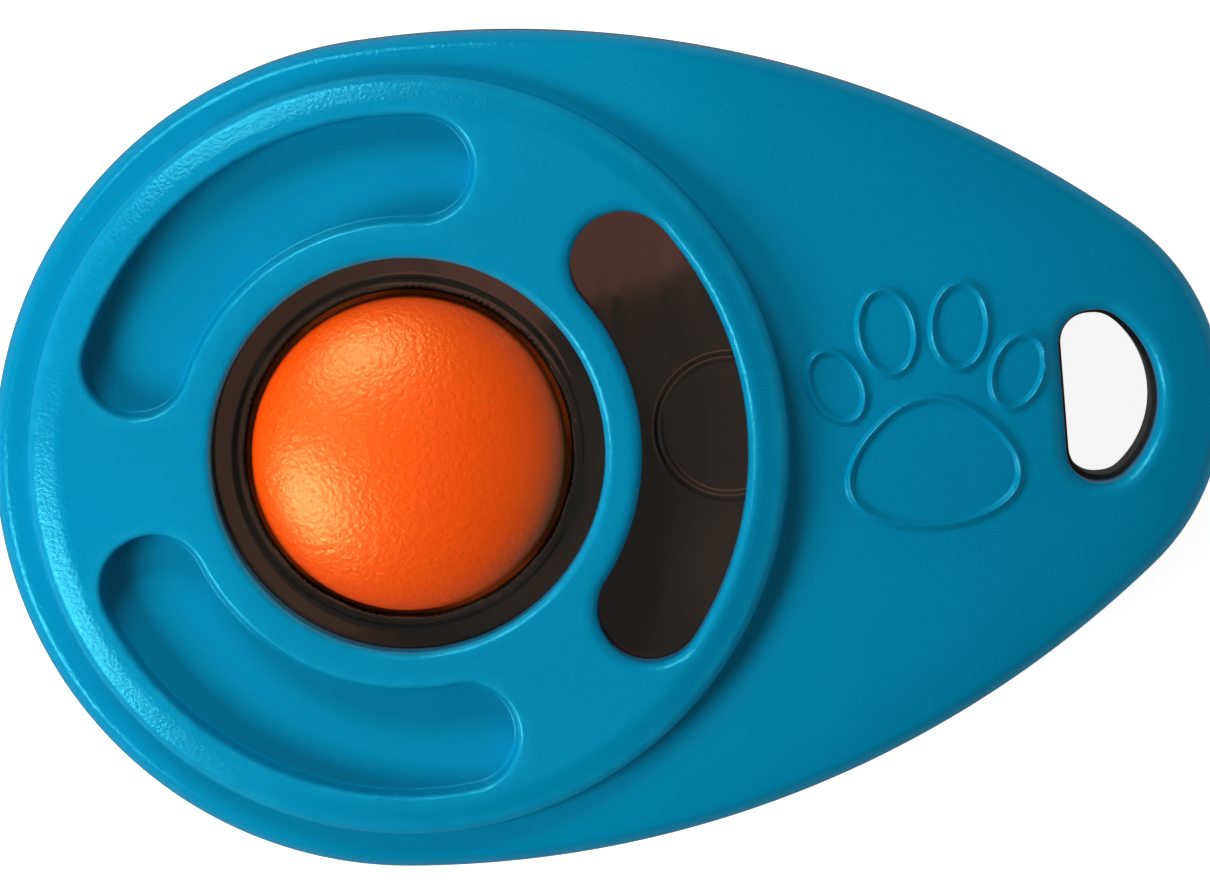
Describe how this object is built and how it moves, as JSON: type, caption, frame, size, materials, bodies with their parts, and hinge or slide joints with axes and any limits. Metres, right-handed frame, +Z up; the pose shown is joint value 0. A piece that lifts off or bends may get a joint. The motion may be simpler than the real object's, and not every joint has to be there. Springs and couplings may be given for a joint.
{
  "type": "handheld clicker trainer",
  "caption": "Teardrop handheld training clicker: two-part case with a lanyard eye, raised turret with curved slots, domed push button and an internal spring-steel click strip.",
  "frame": {"origin": "on the button's axis, at the flat back face", "axes": "+X along the case's long axis towards the lanyard eye, +Z up through the button, +Y across the case"},
  "size_m": [0.0639, 0.043, 0.0153],
  "materials": {
    "shell_blue": "satin, fine moulded texture",
    "shell_black": "satin",
    "deck_gloss": "polished",
    "button_orange": "fine leather-grain texture",
    "spring_steel": "rolled",
    "clamp_steel": "stamped",
    "screw_zinc": "zinc plated"
  },
  "bodies": {
    "case": {"front_shell": "shell_blue", "back_shell": "shell_black", "click_deck": "deck_gloss", "strip_clamp": "clamp_steel", "clamp_screw_left": "screw_zinc", "clamp_screw_right": "screw_zinc", "case_screw_tail": "screw_zinc", "case_screw_left": "screw_zinc", "case_screw_right": "screw_zinc"},
    "button": {"button": "button_orange"},
    "strip": {"click_strip": "spring_steel"}
  },
  "joints": [
    {"name": "button_press", "type": "slide", "parent": "case", "child": "button", "axis": [0, 0, -1], "range_m": [0, 0.002], "stiffness_N_per_m": 1500, "springref_m": -0.0003},
    {"name": "strip_flex", "type": "hinge", "parent": "case", "child": "strip", "pos_m": [0.0165, 0, 0.00535], "axis": [0, -1, 0], "range_deg": [0, 7.5], "deforming": ["click_strip"]}
  ],
  "couplings": [
    {"joint": "strip_flex", "follows": "button_press", "rad_per_m": 61}
  ]
}
